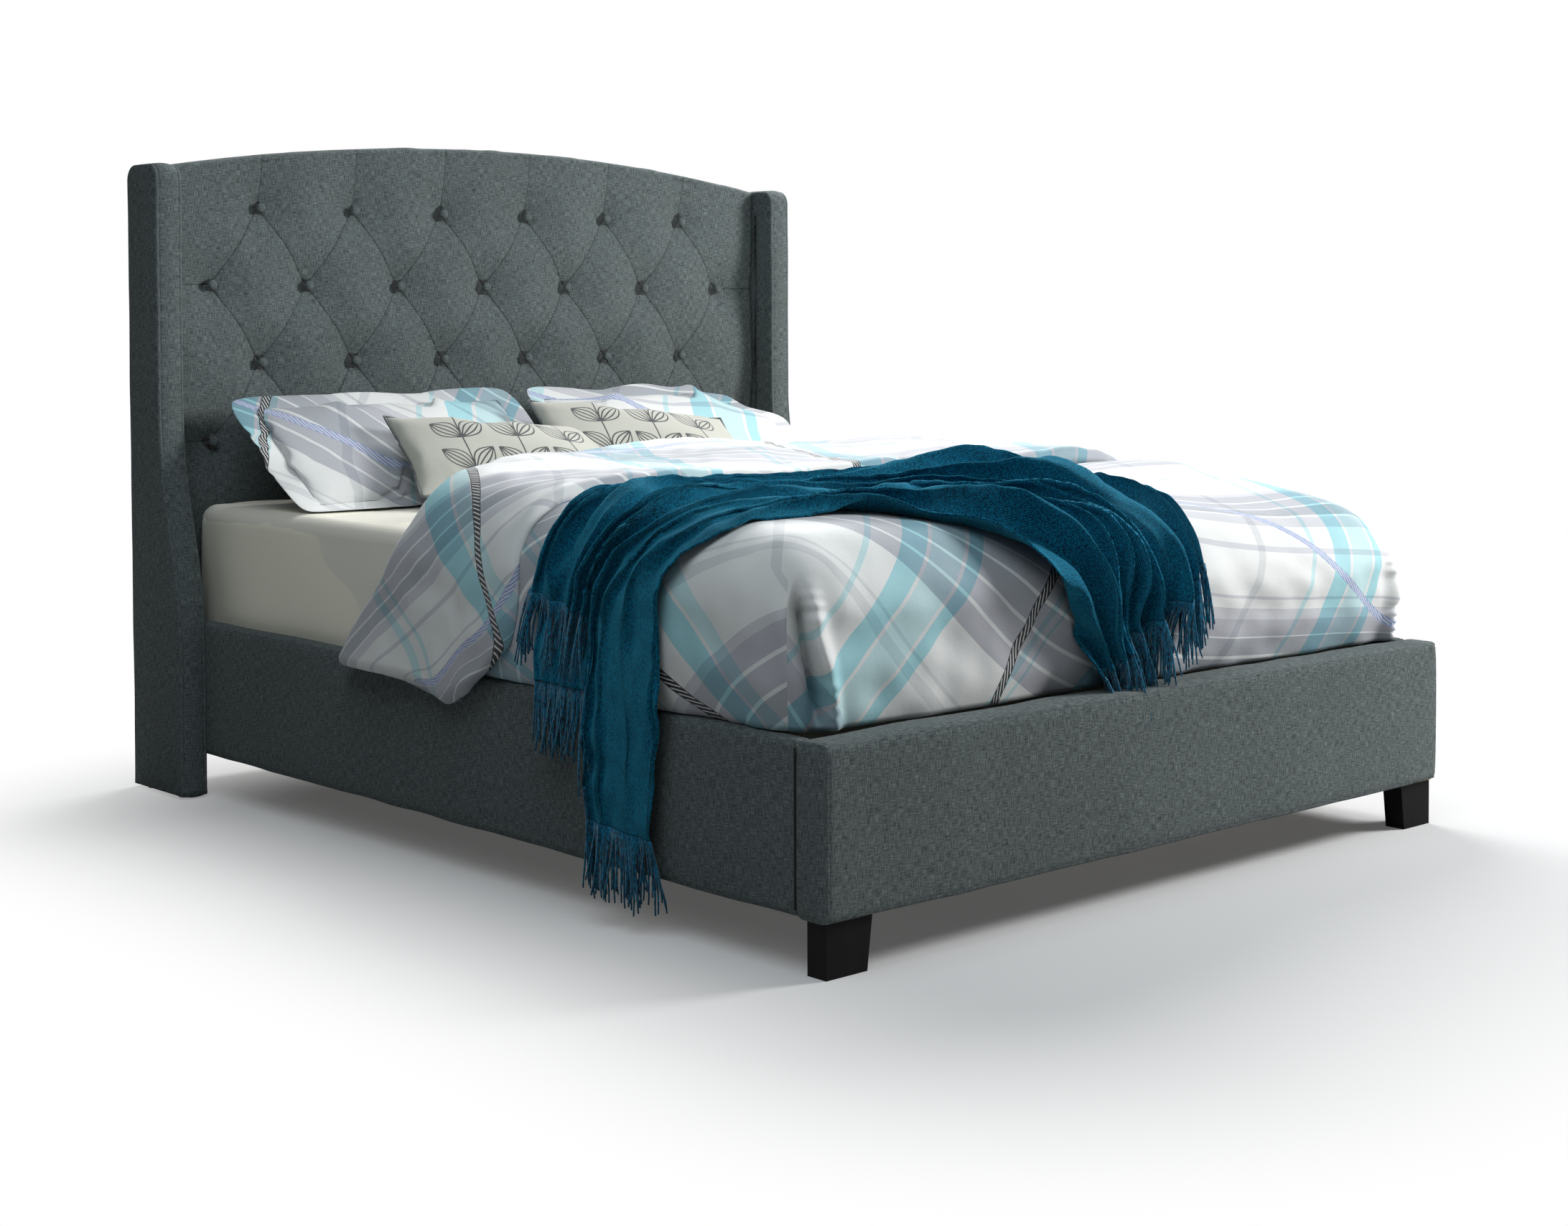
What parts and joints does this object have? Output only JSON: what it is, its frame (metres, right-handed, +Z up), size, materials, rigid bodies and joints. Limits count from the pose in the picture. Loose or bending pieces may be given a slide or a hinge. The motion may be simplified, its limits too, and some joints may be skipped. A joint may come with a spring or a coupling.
{
  "type": "upholstered bed",
  "caption": "Upholstered bed with an arched diamond-tufted wing headboard, padded side rails and footboard, a slatted base, mattress and layered bedding.",
  "frame": {"origin": "centre of the bed's bounding box at floor level", "axes": "+X across the bed, +Y from the footboard to the headboard, +Z up"},
  "size_m": [1.746, 2.24, 1.4248],
  "materials": {
    "upholstery": "slate grey linen-look weave",
    "button_fabric": "slate grey linen-look weave over metal shells",
    "dust_cloth": "black non-woven dust cloth",
    "foam": "open-cell foam",
    "twine": "waxed tufting twine",
    "plywood": "bare plywood",
    "timber": "bare pine",
    "dark_wood": "near-black satin stain",
    "webbing": "woven tape",
    "bracket_steel": "black powder coat",
    "zinc_steel": "zinc plated",
    "black_plastic": "moulded nylon",
    "mattress_ticking": "quilted ticking",
    "cream_cotton": "smooth cream cotton",
    "printed_cotton": "printed satin-weave cotton in greys, lilac and aqua",
    "cushion_linen": "cream linen with dark line embroidery",
    "teal_knit": "petrol blue knit with yarn fringe"
  },
  "bodies": {
    "frame": {"beam_hangers": "bracket_steel", "bracket_bolts": "zinc_steel", "button_ties": "twine", "centre_beam": "timber", "centre_leg_1": "timber", "centre_leg_2": "timber", "footboard_back_board": "plywood", "footboard_battens": "timber", "footboard_cover": "upholstery", "footboard_front_board": "plywood", "front_leg_left": "dark_wood", "front_leg_right": "dark_wood", "headboard_back_cover": "dust_cloth", "headboard_buttons": "button_fabric", "headboard_cover": "upholstery", "headboard_cross_rail": "timber", "headboard_foam": "foam", "headboard_panel": "plywood", "headboard_stud_frame": "timber", "ledger_left": "timber", "ledger_right": "timber", "leg_bolts": "zinc_steel", "leg_inserts": "zinc_steel", "rail_brackets": "bracket_steel", "side_rail_core_left": "timber", "side_rail_core_right": "timber", "side_rail_cover_left": "upholstery", "side_rail_cover_right": "upholstery", "slat_1": "timber", "slat_10": "timber", "slat_11": "timber", "slat_12": "timber", "slat_2": "timber", "slat_3": "timber", "slat_4": "timber", "slat_5": "timber", "slat_6": "timber", "slat_7": "timber", "slat_8": "timber", "slat_9": "timber", "slat_straps": "webbing", "wing_bolts": "zinc_steel", "wing_core_left": "plywood", "wing_core_right": "plywood", "wing_cover_left": "upholstery", "wing_cover_right": "upholstery", "wing_glides": "black_plastic", "wood_screws": "zinc_steel"},
    "mattress": {"mattress": "mattress_ticking", "fitted_sheet": "cream_cotton"},
    "duvet": {"duvet": "printed_cotton"},
    "throw": {"throw": "teal_knit"},
    "sham_left": {"sham_left": "printed_cotton"},
    "sham_right": {"sham_right": "printed_cotton"},
    "cushion_left": {"cushion_left": "cushion_linen"},
    "cushion_right": {"cushion_right": "cushion_linen"},
    "foot_pad_1": {"foot_pad_1": "black_plastic"},
    "foot_pad_2": {"foot_pad_2": "black_plastic"},
    "levelling_stud_1": {"levelling_stud_1": "zinc_steel"},
    "levelling_stud_2": {"levelling_stud_2": "zinc_steel"}
  },
  "joints": [
    {"name": "mattress_lift", "type": "slide", "parent": "frame", "child": "mattress", "axis": [0, 0, 1], "range_m": [0, 0.35]},
    {"name": "duvet_lift", "type": "slide", "parent": "mattress", "child": "duvet", "axis": [0, 0, 1], "range_m": [0, 0.35]},
    {"name": "throw_lift", "type": "slide", "parent": "duvet", "child": "throw", "axis": [0, 0, 1], "range_m": [0, 0.25]},
    {"name": "sham_left_lift", "type": "slide", "parent": "mattress", "child": "sham_left", "axis": [0, 0, 1], "range_m": [0, 0.35]},
    {"name": "cushion_left_lift", "type": "slide", "parent": "sham_left", "child": "cushion_left", "axis": [0, 0, 1], "range_m": [0, 0.25]},
    {"name": "sham_right_lift", "type": "slide", "parent": "mattress", "child": "sham_right", "axis": [0, 0, 1], "range_m": [0, 0.35]},
    {"name": "cushion_right_lift", "type": "slide", "parent": "sham_right", "child": "cushion_right", "axis": [0, 0, 1], "range_m": [0, 0.25]},
    {"name": "foot_pad_1_travel", "type": "slide", "parent": "frame", "child": "foot_pad_1", "axis": [0, 0, 1], "range_m": [0, 0.008]},
    {"name": "levelling_stud_1_turn", "type": "hinge", "parent": "foot_pad_1", "child": "levelling_stud_1", "pos_m": [0, -0.345, 0], "axis": [0, 0, 1], "range_deg": [0, 2305]},
    {"name": "foot_pad_2_travel", "type": "slide", "parent": "frame", "child": "foot_pad_2", "axis": [0, 0, 1], "range_m": [0, 0.008]},
    {"name": "levelling_stud_2_turn", "type": "hinge", "parent": "foot_pad_2", "child": "levelling_stud_2", "pos_m": [0, 0.355, 0], "axis": [0, 0, 1], "range_deg": [0, 2305]}
  ],
  "couplings": [
    {"joint": "levelling_stud_1_turn", "follows": "foot_pad_1_travel", "rad_per_m": 5026.5},
    {"joint": "levelling_stud_2_turn", "follows": "foot_pad_2_travel", "rad_per_m": 5026.5}
  ]
}
